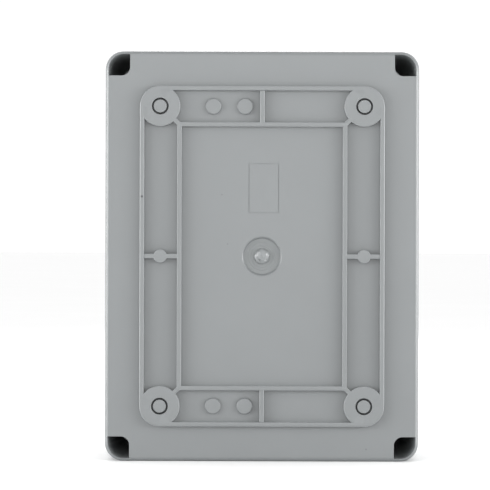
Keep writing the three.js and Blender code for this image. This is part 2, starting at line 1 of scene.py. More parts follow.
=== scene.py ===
"""Electrical junction box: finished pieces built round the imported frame.

Shapes are worked in millimetres about the middle of the box, with x across it, y from the wall side
to the lid and z up. piece() turns them into metres in the row's frame.
"""

import math
import random

import bmesh
import bpy
from mathutils import Matrix, Vector


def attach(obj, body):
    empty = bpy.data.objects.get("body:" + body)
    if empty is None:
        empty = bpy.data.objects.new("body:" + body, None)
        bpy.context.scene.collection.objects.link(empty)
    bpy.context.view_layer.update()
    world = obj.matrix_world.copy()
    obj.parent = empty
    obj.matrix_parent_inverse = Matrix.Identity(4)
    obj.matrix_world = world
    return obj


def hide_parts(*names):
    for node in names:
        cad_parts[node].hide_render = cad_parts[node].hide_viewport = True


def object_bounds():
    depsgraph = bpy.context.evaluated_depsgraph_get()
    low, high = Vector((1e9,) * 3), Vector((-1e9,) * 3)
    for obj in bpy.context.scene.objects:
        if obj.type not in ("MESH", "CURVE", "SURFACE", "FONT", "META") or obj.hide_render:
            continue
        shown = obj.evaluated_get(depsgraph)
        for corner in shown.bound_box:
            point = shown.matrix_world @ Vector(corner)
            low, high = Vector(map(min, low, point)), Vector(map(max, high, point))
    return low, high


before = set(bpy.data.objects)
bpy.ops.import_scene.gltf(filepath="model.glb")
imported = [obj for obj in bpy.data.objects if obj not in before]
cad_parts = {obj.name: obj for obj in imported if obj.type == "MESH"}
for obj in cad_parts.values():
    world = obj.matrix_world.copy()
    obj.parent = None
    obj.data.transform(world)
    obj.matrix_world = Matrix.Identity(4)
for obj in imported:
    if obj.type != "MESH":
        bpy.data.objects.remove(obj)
cad_low, cad_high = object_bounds()

# ---------------------------------------------------------------------------------------------
# Dimensions, in millimetres
# ---------------------------------------------------------------------------------------------

MM = 0.001
WIDTH = (cad_high.x - cad_low.x) / MM
DEPTH = (cad_high.y - cad_low.y) / MM
HEIGHT = (cad_high.z - cad_low.z) / MM

# Enclosure
WALL = 3
CORNER_RADIUS = 9
BACK_FILLET = 2.2
LID_FILLET = 3
PARTING_Y = 24
LID_GAP = 0.1
PANEL_RISE = 1.5
PANEL_INSET = 7
PANEL_NOTCH = 9.5
RECESS_INSET = 13
RIM_EDGE = 0.25

# Corner columns
POCKET = 10.5
SKIRT = 1.45
POCKET_INNER_RADIUS = 4.1
COLUMN_WALL = 2.5
COLUMN_BLOCK = 29
POCKET_TAPER = 0.45
SCREW_INSET = 7.3

# Ribs of the back
RIB_HEIGHT = 3.5
RIB = 2.2
RIB_EDGE = 0.5
OUTER_FRAME = (59.6, 82.9)
FRAME_RADIUS = 9.9
INNER_FRAME = (41.4, 65.3)
FIXING = (49.7, 73)
DISC_RADIUS = 9.8
GROOVE_RADIUS = 4.05
PLUG_RADIUS = 3.2
SKIN = 0.8
MID_BOSS_RADIUS = 3.25
PAD_RADIUS = 3.9
PAD_HEIGHT = 1.6
PAD_XS = (-23.8, -8.4)
DISH_RADIUS = 9.8
STUB_RADIUS = 3.9
# the line round a blanked insert of the tool: its middle and half sizes, its width and depth
WITNESS = (0.8, 33.2, 7.4, 12.1)
WITNESS_LINE = (0.35, 0.2)
# burnt specks: place, radius and strength
SPECKS = (
    (-58.5, 29, 0.75, 0.9),
    (-19.6, 30, 0.5, 0.25),
    (-16.8, 6, 0.5, 0.25),
    (51, -94, 0.6, 0.3),
)
# how far the marks and painted shade of the back, and the painted highlight on the rounded edges of
# its ribs, reach
MARKS_AND_SHADE_DEPTH = 2.4
HIGHLIGHT_DEPTH = 0.6
RING_PITCH = 0.9

# Seal and lid screws
SEAL = WALL / 2
BEAD = (0.8, 0.6)
SEAL_GROOVE = (2, 2.2)
SEAL_GAP = 0.1
HEAD_RADIUS = 4.3
HEAD_HEIGHT = 4
SCREW_LENGTH = 40
SCREW_SEAT_Y = 40
SCREW_HOLE = 2.4
COUNTERBORE = 4.8
THREAD_PITCH = 0.7
THREAD_RADIUS = 1.95
WASHER_Y = 11.5
INSERT_FRONT_Y = 10
INSERT_LENGTH = 11
COLUMN_BORE = 4.5
INSERT_SOCKET = 3.1

# Rail and terminals
POST_HEIGHT = 8
POST_X = 49.6
# outer radius and pilot hole of each post; outer and inner radius and height of a collar
RAIL_POST = (5, 1.7)
SPARE_POST = (3.4, 1.3)
COLLAR = (8, 4.6, 3)
FIT = 0.1
RAIL = {"width": 35, "depth": 7.5, "web": 27, "sheet": 1, "length": 118, "slot_pitch": 24.8}
RAIL_SLOT = (15, 6.2)
TERMINALS = ("terminal_l1", "terminal_l2", "terminal_l3", "terminal_neutral", "terminal_earth")
TERMINAL_WIDTH = 10
TERMINAL_PITCH = 10.2
SIDE_WALL = 1.2
CLAMP_Z = 14.2
# width, thickness, half length and underside of the current bar
BAR = (5, 1.5, 18.6, 16.9)
CAGE = {"width": 7, "length": 7.4, "bottom": 10.5, "height": 11.2, "floor": 1.5, "roof": 2.7}
# half length, floor and roof of the chamber round a cage
CHAMBER = (4.2, 9.6, 27.6)
CLAMP_HOLE = 2.2
CLAMP_HEAD = 2.9
CLAMP_HEAD_BOTTOM = 32
CLAMP_HEAD_HEIGHT = 3.2
ENTRY_RADIUS = 3
END_COVER = 2
YELLOW_FROM = 27
END_STOP = (8, 24)

# Places that follow from them
BACK_Y = -DEPTH / 2
FIELD_Y = BACK_Y + RIB_HEIGHT
FLOOR_Y = FIELD_Y + WALL
FRONT_Y = DEPTH / 2
LID_FIELD_Y = FRONT_Y - PANEL_RISE
LID_BACK_Y = PARTING_Y + LID_GAP
LID_CEILING_Y = LID_FIELD_Y - WALL
CAVITY = (WIDTH / 2 - WALL, HEIGHT / 2 - WALL)
NOTCH = SKIRT + POCKET + COLUMN_WALL - WALL
COLUMN_RADIUS = POCKET_INNER_RADIUS + COLUMN_WALL
CAVITY_RADIUS = 2
SCREW_X = WIDTH / 2 - SCREW_INSET
SCREW_Z = HEIGHT / 2 - SCREW_INSET
RAIL_BACK_Y = FLOOR_Y + POST_HEIGHT + FIT
FLANGE_Y = RAIL_BACK_Y + RAIL["depth"]
ROW_LEFT = -(len(TERMINALS) * TERMINAL_PITCH + END_COVER) / 2
CORNERS = {
    "top_left": (-1, 1),
    "top_right": (1, 1),
    "bottom_left": (-1, -1),
    "bottom_right": (1, -1),
}

# Fineness of the finished meshes
ARC = 10
FINE = 64
ROUND = 40
SMALL = 28

EPSILON = 0.001


# ---------------------------------------------------------------------------------------------
# Mesh tools
# ---------------------------------------------------------------------------------------------

def flat(corners, lift, steps=ARC):
    """A face through (u, v, radius) corners, each rounded by its radius; lift() places them."""
    bm = bmesh.new()
    verts = [bm.verts.new(lift(u, v)) for u, v, radius in corners]
    bm.faces.new(verts)
    bm.normal_update()
    for vert, (u, v, radius) in zip(verts, corners):
        if radius:
            bmesh.ops.bevel(
                bm, geom=[vert], offset=radius, offset_type="OFFSET", affect="VERTICES",
                segments=steps, profile=0.5, material=-1,
            )
    return bm


def extrude(bm, offset):
    """Gives every face of bm depth along offset."""
    made = bmesh.ops.extrude_face_region(bm, geom=bm.faces[:])["geom"]
    moved = [item for item in made if isinstance(item, bmesh.types.BMVert)]
    bmesh.ops.translate(bm, verts=moved, vec=offset)
    bmesh.ops.recalc_face_normals(bm, faces=bm.faces[:])
    return bm


def plate(corners, back_y, front_y, steps=ARC):
    """A solid with an outline of (x, z, radius) corners between two depths."""
    bm = flat(corners, lambda x, z: (x, back_y, z), steps)
    return extrude(bm, (0, front_y - back_y, 0))


def section(corners, left_x, right_x, steps=3):
    """A solid with a side profile of (z, y, radius) corners between two places across the box."""
    bm = flat(corners, lambda z, y: (left_x, y, z), steps)
    return extrude(bm, (right_x - left_x, 0, 0))


def ring(corners, width, back_y, front_y, steps=ARC):
    """A closed wall of even width inside an outline."""
    bm = flat(corners, lambda x, z: (x, back_y, z), steps)
    middle = bm.faces[:]
    bmesh.ops.inset_individual(bm, faces=middle, thickness=width, use_even_offset=True)
    bmesh.ops.delete(bm, geom=middle, context="FACES_ONLY")
    return extrude(bm, (0, front_y - back_y, 0))


def block(low, high):
    """A box between two corners."""
    bm = bmesh.new()
    bmesh.ops.create_cube(bm, size=1)
    bmesh.ops.scale(bm, verts=bm.verts[:], vec=Vector(high) - Vector(low))
    bmesh.ops.translate(bm, verts=bm.verts[:], vec=(Vector(high) + Vector(low)) / 2)
    return bm


def turned(profile, steps=ROUND, closed=False):
    """A solid turned about the y axis from (radius, y) points; a closed profile makes a ring."""
    bm = bmesh.new()
    verts = [bm.verts.new((radius, y, 0)) for radius, y in profile]
    pairs = list(zip(verts, verts[1:]))
    if closed:
        pairs.append((verts[-1], verts[0]))
    edges = [bm.edges.new(pair) for pair in pairs]
    bmesh.ops.spin(
        bm, geom=verts + edges, axis=(0, 1, 0), cent=(0, 0, 0), angle=math.tau,
        steps=steps, use_merge=True,
    )
    bmesh.ops.remove_doubles(bm, verts=bm.verts[:], dist=EPSILON)
    bmesh.ops.recalc_face_normals(bm, faces=bm.faces[:])
    return bm


def rod(radius, back_y, front_y, x=0, z=0, steps=ROUND):
    """A round bar along y."""
    profile = [(0, back_y), (radius, back_y), (radius, front_y), (0, front_y)]
    return moved(turned(profile, steps), (x, 0, z))


def moved(bm, offset):
    """bm, shifted."""
    bmesh.ops.translate(bm, verts=bm.verts[:], vec=offset)
    return bm


def soften(bm, width, chosen=None, segments=3):
    """Rounds the sharp edges of bm, or those that chosen() picks."""
    edges = [
        edge for edge in bm.edges
        if edge.is_manifold and edge.calc_face_angle() > math.radians(35)
        and (chosen is None or chosen(edge))
    ]
    bmesh.ops.bevel(
        bm, geom=edges, offset=width, offset_type="OFFSET", affect="EDGES", segments=segments,
        profile=0.5, material=-1, clamp_overlap=True,
    )
    return bm


def at_y(depth):
    """Picks the edges that lie in one plane across the box's depth."""
    return lambda edge: all(abs(vert.co.y - depth) < EPSILON for vert in edge.verts)


def temporary(name, bm):
    """A linked object that holds bm, which it frees."""
    mesh = bpy.data.meshes.new(name)
    bm.to_mesh(mesh)
    bm.free()
    obj = bpy.data.objects.new(name, mesh)
    bpy.context.scene.collection.objects.link(obj)
    return obj


def carve(bm, others, operation="DIFFERENCE"):
    """bm with other solids cut from it or joined to it, one after the other."""
    work = temporary("work", bm)
    tools = [temporary("tool", other) for other in others]
    for tool in tools:
        modifier = work.modifiers.new("carve", "BOOLEAN")
        modifier.operation = operation
        modifier.solver = "MANIFOLD"
        modifier.object = tool
    graph = bpy.context.evaluated_depsgraph_get()
    result = bmesh.new()
    result.from_mesh(work.evaluated_get(graph).to_mesh())
    for obj in [work, *tools]:
        mesh = obj.data
        bpy.data.objects.remove(obj)
        bpy.data.meshes.remove(mesh)
    return result


def piece(name, bm, finish, body, nodes, angle=33):
    """A finished piece, in metres and in its place, that rides on a body and replaces CAD nodes."""
    bmesh.ops.scale(bm, verts=bm.verts[:], vec=(MM, MM, MM))
    bmesh.ops.translate(bm, verts=bm.verts[:], vec=(0, 0, HEIGHT / 2 * MM))
    mesh = bpy.data.meshes.new(name)
    bm.to_mesh(mesh)
    bm.free()
    mesh.polygons.foreach_set("use_smooth", [True] * len(mesh.polygons))
    mesh.set_sharp_from_angle(angle=math.radians(angle))
    mesh.materials.append(finish)
    obj = bpy.data.objects.new(name, mesh)
    bpy.context.scene.collection.objects.link(obj)
    normals = obj.modifiers.new("even_normals", "WEIGHTED_NORMAL")
    normals.keep_sharp = True
    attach(obj, body)
    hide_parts(*nodes)
    return obj


# ---------------------------------------------------------------------------------------------
# Outlines
# ---------------------------------------------------------------------------------------------

def rectangle(half_x, half_z, radius=0, x=0, z=0):
    """Corners of an upright rectangle about (x, z)."""
    signs = ((1, -1), (1, 1), (-1, 1), (-1, -1))
    return [(x + sx * half_x, z + sz * half_z, radius) for sx, sz in signs]


def notched(offset, half=CAVITY, notch=NOTCH):
    """The outline of the sealed space, stepped in round the columns and moved out by offset."""
    x, z = half[0] + offset, half[1] + offset
    side, column = CAVITY_RADIUS + offset, COLUMN_RADIUS - offset
    corners = []
    for sx, sz in ((1, 1), (-1, 1), (-1, -1), (1, -1)):
        step = [
            (sx * x, sz * (z - notch), side),
            (sx * (x - notch), sz * (z - notch), column),
            (sx * (x - notch), sz * z, side),
        ]
        corners += step if sx * sz > 0 else step[::-1]
    return corners


def pocket_outline(sx, sz, grow):
    """The outline of one corner pocket, larger all round by grow."""
    inner_x, inner_z = WIDTH / 2 - SKIRT - POCKET - grow, HEIGHT / 2 - SKIRT - POCKET - grow
    outer_x, outer_z = WIDTH / 2 - SKIRT + grow, HEIGHT / 2 - SKIRT + grow
    return [
        (sx * outer_x, sz * inner_z, 0.3),
        (sx * outer_x, sz * outer_z, CORNER_RADIUS - SKIRT + grow),
        (sx * inner_x, sz * outer_z, 0.3),
        (sx * inner_x, sz * inner_z, POCKET_INNER_RADIUS + grow),
    ]


# ---------------------------------------------------------------------------------------------
# Enclosure base
# ---------------------------------------------------------------------------------------------

def pocket_cutter(sx, sz):
    """A corner pocket whose mouth flares by a small round edge."""
    flare = RIM_EDGE
    bm = flat(pocket_outline(sx, sz, flare), lambda x, z: (x, FIELD_Y - 1, z))
    extrude(bm, (0, 1, 0))
    cap = [
        face for face in bm.faces
        if all(abs(vert.co.y - FIELD_Y) < EPSILON for vert in face.verts)
    ]
    steps = 4
    for step in range(steps):
        here, there = math.pi / 2 * step / steps, math.pi / 2 * (step + 1) / steps
        bmesh.ops.inset_individual(
            bm, faces=cap, thickness=flare * (math.sin(there) - math.sin(here)),
            depth=flare * (math.cos(here) - math.cos(there)), use_even_offset=True,
        )
    made = bmesh.ops.extrude_face_region(bm, geom=cap)["geom"]
    verts = [item for item in made if isinstance(item, bmesh.types.BMVert)]
    bmesh.ops.translate(bm, verts=verts, vec=(0, PARTING_Y - COLUMN_BLOCK - FIELD_Y - flare, 0))
    inner = Vector((sx * (WIDTH / 2 - SKIRT - POCKET), 0, sz * (HEIGHT / 2 - SKIRT - POCKET)))
    bmesh.ops.scale(
        bm, verts=verts, vec=(POCKET_TAPER, 1, POCKET_TAPER), space=Matrix.Translation(-inner),
    )
    bmesh.ops.delete(bm, geom=[face for face in cap if face.is_valid], context="FACES_ONLY")
    bmesh.ops.recalc_face_normals(bm, faces=bm.faces[:])
    return bm


def back_ribs():
    """The raised double frame of the back with its discs, webs, cross ribs, bosses and pads."""
    root = FIELD_Y + 0.5
    rim = at_y(BACK_Y)
    ribs = [
        soften(ring(rectangle(*OUTER_FRAME, FRAME_RADIUS), RIB, BACK_Y, root), RIB_EDGE, rim),
        soften(ring(rectangle(*INNER_FRAME), RIB, BACK_Y, root), RIB_EDGE, rim),
    ]
    low = BACK_Y + 0.02
    for sx, sz in CORNERS.values():
        disc = rod(DISC_RADIUS, low, root, sx * FIXING[0], sz * FIXING[1], FINE)
        ribs.append(soften(disc, RIB_EDGE, at_y(low)))
        ribs.append(corner_web(sx, sz, low + 0.02, root))
    cross = low + 0.03
    for side in (-1, 1):
        ends = sorted(side * x for x in (OUTER_FRAME[0] - RIB, INNER_FRAME[0] - RIB / 2))
        bar = block((ends[0], cross, -RIB / 2), (ends[1], root, RIB / 2))
        ribs.append(soften(bar, RIB_EDGE, at_y(cross)))
        ribs.append(soften(rod(MID_BOSS_RADIUS, low, root, side * POST_X, 0), RIB_EDGE, at_y(low)))
        ends = sorted(side * z for z in (OUTER_FRAME[1] - RIB, INNER_FRAME[1] - RIB / 2))
        bar = block((-RIB / 2, cross, ends[0]), (RIB / 2, root, ends[1]))
        ribs.append(soften(bar, RIB_EDGE, at_y(cross)))
        for x in PAD_XS:
            pad = rod(PAD_RADIUS, FIELD_Y - PAD_HEIGHT, root, x, side * FIXING[1])
            ribs.append(soften(pad, 0.45, at_y(FIELD_Y - PAD_HEIGHT)))
    return ribs


def corner_web(sx, sz, back_y, front_y):
    """A short rib at 45 degrees from a disc to the nearest corner of the inner frame."""
    start = Vector((sx * (INNER_FRAME[0] - RIB / 2), 0, sz * (INNER_FRAME[1] - RIB / 2)))
    end = Vector((sx * (FIXING[0] - 3), 0, sz * (FIXING[1] - 3)))
    span = end - start
    bm = block((0, back_y, -RIB / 2), (span.length, front_y, RIB / 2))
    soften(bm, RIB_EDGE, at_y(back_y))
    turn = Matrix.Rotation(-math.atan2(span.z, span.x), 3, "Y")
    bmesh.ops.rotate(bm, verts=bm.verts[:], cent=(0, 0, 0), matrix=turn)
    return moved(bm, start)


def knockout_groove(sx, sz):
    """The ring groove that leaves a plug standing on a thin skin."""
    edge = 0.12
    bottom = FLOOR_Y - SKIN
    profile = [
        (PLUG_RADIUS - edge, BACK_Y - 1), (GROOVE_RADIUS + edge, BACK_Y - 1),
        (GROOVE_RADIUS + edge, BACK_Y), (GROOVE_RADIUS, BACK_Y + 2 * edge),
        (GROOVE_RADIUS, bottom), (PLUG_RADIUS, bottom),
        (PLUG_RADIUS, BACK_Y + 3 * edge), (PLUG_RADIUS - edge, BACK_Y + edge),
    ]
    return moved(turned(profile, FINE, closed=True), (sx * FIXING[0], 0, sz * FIXING[1]))


def gate_dish():
    """The stepped hollow round the gate, where the runner was broken off."""
    steps = [
        (1, 0), (0.99, 0.04), (0.945, 0.3), (0.928, 0.65), (0.908, 1.05), (0.885, 1.35),
        (0.85, 1.45), (0.7, 1.5), (0.69, 1.64), (0.55, 1.68), (0.54, 1.82), (0, 1.84),
    ]
    profile = [(0, FIELD_Y - 1), (DISH_RADIUS, FIELD_Y - 1)]
    profile += [(DISH_RADIUS * share, FIELD_Y + depth) for share, depth in steps]
    return turned(profile, FINE)


def gate_stub():
    """The rough end of the broken runner: a low lump with torn facets."""
    torn = random.Random(7)
    bm = bmesh.new()
    bmesh.ops.create_icosphere(bm, subdivisions=3, radius=STUB_RADIUS)
    bmesh.ops.scale(bm, verts=bm.verts[:], vec=(1, 0.5, 1))
    for vert in bm.verts:
        vert.co.y = vert.co.y * (1 + torn.uniform(-0.35, 0.35)) - 0.1
        vert.co.x += torn.uniform(-0.2, 0.2)
        vert.co.z += torn.uniform(-0.2, 0.2)
    return moved(bm, (0, FIELD_Y + 1.9, 0))


def inner_bosses():
    """Rail posts, spare posts behind the pads and collars round the knock-outs."""
    root = FLOOR_Y - 0.5
    edge = 0.4
    bosses = []
    for side in (-1, 1):
        places = [(side * POST_X, 0, *RAIL_POST)]
        places += [(x, side * FIXING[1], *SPARE_POST) for x in PAD_XS]
        for x, z, radius, pilot in places:
            top = FLOOR_Y + POST_HEIGHT
            post = [
                (pilot, root), (radius, root), (radius, top - edge), (radius - edge, top),
                (pilot + 0.3, top), (pilot, top - edge),
            ]
            bosses.append(moved(turned(post, SMALL, closed=True), (x, 0, z)))
    outer, inner, height = COLLAR
    for sx, sz in CORNERS.values():
        top = FLOOR_Y + height
        collar = [
            (inner, root), (outer, root), (outer, top - edge), (outer - edge, top),
            (inner + edge, top), (inner, top - edge),
        ]
        place = (sx * FIXING[0], 0, sz * FIXING[1])
        bosses.append(moved(turned(collar, ROUND, closed=True), place))
    return bosses


def column_bore(sx, sz):
    """The hole down a corner column: a socket for the insert and a wider run for the screw."""
    back = INSERT_FRONT_Y - INSERT_LENGTH - FIT
    step, mouth, wide = INSERT_FRONT_Y + 0.5, PARTING_Y - 0.4, COLUMN_BORE + 0.4
    profile = [
        (0, back), (INSERT_SOCKET, back), (INSERT_SOCKET, step), (COLUMN_BORE, step),
        (COLUMN_BORE, mouth), (wide, PARTING_Y), (wide, PARTING_Y + 2), (0, PARTING_Y + 2),
    ]
    return moved(turned(profile), (sx * SCREW_X, 0, sz * SCREW_Z))


def enclosure_base(finish):
    """The base moulding."""
    body = plate(rectangle(WIDTH / 2, HEIGHT / 2, CORNER_RADIUS), FIELD_Y, PARTING_Y)
    soften(body, BACK_FILLET, at_y(FIELD_Y), segments=6)
    soften(body, RIM_EDGE, at_y(PARTING_Y))
    cavity = soften(plate(notched(0), FLOOR_Y, PARTING_Y + 1), 1.2, at_y(FLOOR_Y))
    body = carve(body, [cavity])
    bead_width, bead_height = BEAD
    bead_top = PARTING_Y + bead_height
    bead = ring(notched(SEAL + bead_width / 2), bead_width, PARTING_Y - 0.5, bead_top)
    soften(bead, 0.25, at_y(bead_top))
    body = carve(body, [*back_ribs(), *inner_bosses(), bead], "UNION")
    x, z, half_x, half_z = WITNESS
    width, depth = WITNESS_LINE
    outline = rectangle(half_x, half_z, 0, x, z)
    cuts = [gate_dish(), ring(outline, width, FIELD_Y - 1, FIELD_Y + depth)]
    for sx, sz in CORNERS.values():
        cuts += [pocket_cutter(sx, sz), knockout_groove(sx, sz), column_bore(sx, sz)]
    body = carve(body, cuts)
    body = carve(body, [gate_stub()], "UNION")
    piece("enclosure_base_moulding", body, finish, "base", ["enclosure_base"])


# ---------------------------------------------------------------------------------------------
# Lid and seal
# ---------------------------------------------------------------------------------------------

def screw_well(sx, sz):
    """The hole and the counterbore of one lid screw."""
    seat, top = SCREW_SEAT_Y - FIT, LID_FIELD_Y
    wide = COUNTERBORE + 0.5
    profile = [
        (0, LID_BACK_Y - 1), (SCREW_HOLE, LID_BACK_Y - 1), (SCREW_HOLE, seat), (COUNTERBORE, seat),
        (COUNTERBORE, top - 0.5), (COUNTERBORE + 0.15, top - 0.15), (wide, top),
        (wide, FRONT_Y + 1), (0, FRONT_Y + 1),
    ]
    return moved(turned(profile), (sx * SCREW_X, 0, sz * SCREW_Z))


def lid(finish):
    """The lid moulding, with its raised panel and the wells of the four screws."""
    body = plate(rectangle(WIDTH / 2, HEIGHT / 2, CORNER_RADIUS), LID_BACK_Y, LID_FIELD_Y)
    soften(body, LID_FILLET, at_y(LID_FIELD_Y), segments=8)
    soften(body, RIM_EDGE, at_y(LID_BACK_Y))
    half = (WIDTH / 2 - PANEL_INSET, HEIGHT / 2 - PANEL_INSET)
    panel = plate(notched(0, half, PANEL_NOTCH), LID_FIELD_Y - 1, FRONT_Y)
    soften(panel, 0.7, at_y(FRONT_Y), segments=4)
    body = carve(body, [panel], "UNION")
    groove_width, groove_depth = SEAL_GROOVE
    cavity = plate(notched(0), LID_BACK_Y - 1, LID_CEILING_Y)
    soften(cavity, 1.5, at_y(LID_CEILING_Y))
    outline = rectangle(CAVITY[0] - RECESS_INSET, CAVITY[1] - RECESS_INSET, 4)
    recess = plate(outline, LID_CEILING_Y - 1, FRONT_Y - WALL)
    outline = notched(SEAL + groove_width / 2)
    cuts = [ring(outline, groove_width, LID_BACK_Y - 1, LID_BACK_Y + groove_depth)]
    cuts += [screw_well(sx, sz) for sx, sz in CORNERS.values()]
    body = carve(body, [cavity, recess])
    body = carve(body, cuts)
    piece("lid_moulding", body, finish, "lid", ["lid"])


def gasket(finish):
    """The sealing ring in the groove of the lid."""
    width = SEAL_GROOVE[0] - 2 * SEAL_GAP
    back = PARTING_Y + BEAD[1] + SEAL_GAP
    front = LID_BACK_Y + SEAL_GROOVE[1] - SEAL_GAP
    body = soften(ring(notched(SEAL + width / 2), width, back, front), 0.4)
    piece("lid_seal", body, finish, "lid", ["lid_gasket"])


# ---------------------------------------------------------------------------------------------
# Fasteners, each about the y axis with the underside of its head at y = 0
# ---------------------------------------------------------------------------------------------

def thread(radius, depth, low, high):
    """The zigzag outline of a thread between two depths."""
    turns = int((high - low) / THREAD_PITCH)
    points = []
    for turn in range(turns):
        y = low + turn * THREAD_PITCH
        crest = (y + 0.3 * THREAD_PITCH, y + 0.45 * THREAD_PITCH)
        points += [(radius - depth, y), (radius, crest[0]), (radius, crest[1])]
    points.append((radius - depth, low + turns * THREAD_PITCH))
    return points


def cross_recess(top, length, width, depth):
    """The two tapered blades of a cross recess."""
    blades = []
    for size in ((length, width), (width, length)):
        bm = block((-size[0] / 2, top - depth, -size[1] / 2), (size[0] / 2, top + 0.5, size[1] / 2))
        deep = [vert for vert in bm.verts if vert.co.y < top]
        bmesh.ops.scale(bm, verts=deep, vec=(0.55, 1, 0.55))
        blades.append(bm)
    return blades


def domed_head(radius, height, edge):
    """The outline of a screw head from its underside up, with a round edge."""
    arc = [
        (radius - edge + edge * math.cos(a), height - edge + edge * math.sin(a))
        for a in (math.pi / 2 * k / 4 for k in range(5))
    ]
    return [(radius - 0.2, 0), (radius, 0.2), *arc, (0, height)]


def lid_screw():
    """An M4 machine screw with a necked shank, threaded over its end."""
    neck_low = WASHER_Y - 0.5 - SCREW_SEAT_Y
    neck_high = WASHER_Y + 1.5 - SCREW_SEAT_Y
    profile = [
        (0, -SCREW_LENGTH), (1.3, -SCREW_LENGTH),
        *thread(THREAD_RADIUS, 0.38, 0.8 - SCREW_LENGTH, neck_low - 0.3),
        (THREAD_RADIUS, neck_low), (1.55, neck_low), (1.55, neck_high), (THREAD_RADIUS, neck_high),
        (THREAD_RADIUS, 0), *domed_head(HEAD_RADIUS, HEAD_HEIGHT, 0.8),
    ]
    return carve(turned(profile, ROUND), cross_recess(HEAD_HEIGHT, 5.2, 1.15, 2.4))


def slotted_screw(head_radius, head_height, shank, length):
    """A cheese-head screw with a straight slot."""
    profile = [
        (0, -length), (shank * 0.7, -length),
        *thread(shank, 0.3, 0.6 - length, -1),
        (shank, -0.6), (shank, 0), *domed_head(head_radius, head_height, 0.45),
    ]
    reach, deep = head_radius + 1, head_height - 1.6
    slot = block((-reach, deep, -0.5), (reach, head_height + 1, 0.5))
    return carve(turned(profile, SMALL), [slot])


def rail_screw():
    """A pan-head screw with a cross recess."""
    profile = [
        (0, -7.5), (0.5, -7.2), *thread(1.5, 0.32, -6, -0.8), (1.5, -0.4), (1.5, 0),
        (3.8, 0), (4, 0.3), (3.9, 1), (3.5, 1.6), (2.8, 2.1), (1.8, 2.35), (0, 2.4),
    ]
    return carve(turned(profile, SMALL), cross_recess(2.4, 4, 0.95, 1.5))


def threaded_insert():
    """A brass insert with two knurled bands and a threaded bore."""
    length = INSERT_LENGTH
    waist = 2.65
    outside = [
        (2.3, -length), (2.8, -length), (3, 0.2 - length), (3, -length * 0.62),
        (waist, -length * 0.58), (waist, -length * 0.42), (3, -length * 0.38),
        (3, -0.2), (2.8, 0), (2.5, 0),
    ]
    bore = thread(2.42, 0.3, 0.3 - length, -0.3)
    return turned([*outside, *reversed(bore)], ROUND, closed=True)


def lid_fasteners(steel, nylon, brass):
    """The four lid screws with their captive washers and the inserts in the columns."""
    for corner, (sx, sz) in CORNERS.items():
        x, z = sx * SCREW_X, sz * SCREW_Z
        screw = moved(lid_screw(), (x, SCREW_SEAT_Y, z))
        piece(f"lid_screw_{corner}_m4", screw, steel, f"lid_screw_{corner}",
              [f"lid_screw_{corner}"])
        disc = [
            (1.75, 0.1), (1.85, 0), (3.6, 0), (3.7, 0.1),
            (3.7, 0.9), (3.6, 1), (1.85, 1), (1.75, 0.9),
        ]
        washer = moved(turned(disc, ROUND, closed=True), (x, WASHER_Y, z))
        piece(f"captive_washer_{corner}_disc", washer, nylon, f"lid_washer_{corner}",
              [f"captive_washer_{corner}"])
        insert = moved(threaded_insert(), (x, INSERT_FRONT_Y, z))
        piece(f"threaded_insert_{corner}_turned", insert, brass, "base",
              [f"threaded_insert_{corner}"])


# ---------------------------------------------------------------------------------------------
# Rail
# ---------------------------------------------------------------------------------------------

def rail(finish, steel):
    """The top-hat rail with its slots, and the two screws that hold it to the posts."""
    half, flange, depth, sheet = RAIL["web"] / 2, RAIL["width"] / 2, RAIL["depth"], RAIL["sheet"]
    outside, inside = 1.2, 0.4
    side = [
        (half, 0, outside), (half, depth - sheet, inside), (flange, depth - sheet, 0.3),
        (flange, depth, 0.3), (half - sheet, depth, outside), (half - sheet, sheet, inside),
    ]
    profile = side + [(-z, y, radius) for z, y, radius in reversed(side)]
    bar = section(profile, -RAIL["length"] / 2, RAIL["length"] / 2, steps=4)
    length, width = RAIL_SLOT
    slots = []
    for step in (-2, -1, 0, 1, 2):
        x = step * RAIL["slot_pitch"]
        outline = rectangle(length / 2, width / 2, width / 2 - 0.01, x)
        slots.append(plate(outline, -1, sheet + 1, 8))
    bar = moved(carve(bar, slots), (0, RAIL_BACK_Y, 0))
    piece("din_rail_rolled", bar, finish, "base", ["din_rail"])
    for name, side in (("left", -1), ("right", 1)):
        screw = moved(rail_screw(), (side * POST_X, RAIL_BACK_Y + sheet + 0.05, 0))
        piece(f"rail_screw_{name}_pan", screw, steel, "base", [f"rail_screw_{name}"])


# ---------------------------------------------------------------------------------------------
# Terminals, with y measured from the front of the rail's flanges
# ---------------------------------------------------------------------------------------------

def mirrored(half):
    """A whole profile from the half at positive z."""
    return half + [(-z, y, radius) for z, y, radius in reversed(half)]


def rail_hook():
    """The part of a profile that hooks behind one flange."""
    edge = RAIL["width"] / 2 + 0.3
    under = -RAIL["sheet"] - 0.3
    return [
        (edge, FIT, 0), (edge, under, 0), (edge - 2.2, under, 0.2), (edge - 2.2, under - 1.8, 0.5),
        (edge + 0.8, under - 3, 0.5), (edge + 3.2, under - 1.2, 0.8),
    ]


def terminal_profile():
    """The side profile of a terminal."""
    return mirrored([
        *rail_hook(), (21, 7.5, 1.2), (23.75, 9, 0.8), (23.75, 26, 1.5), (20.5, 31, 1.2),
        (20.5, 38.5, 0.8), (7.5, 38.5, 0.6), (6, 41, 0.6), (6, 44.5, 0.5),
    ])


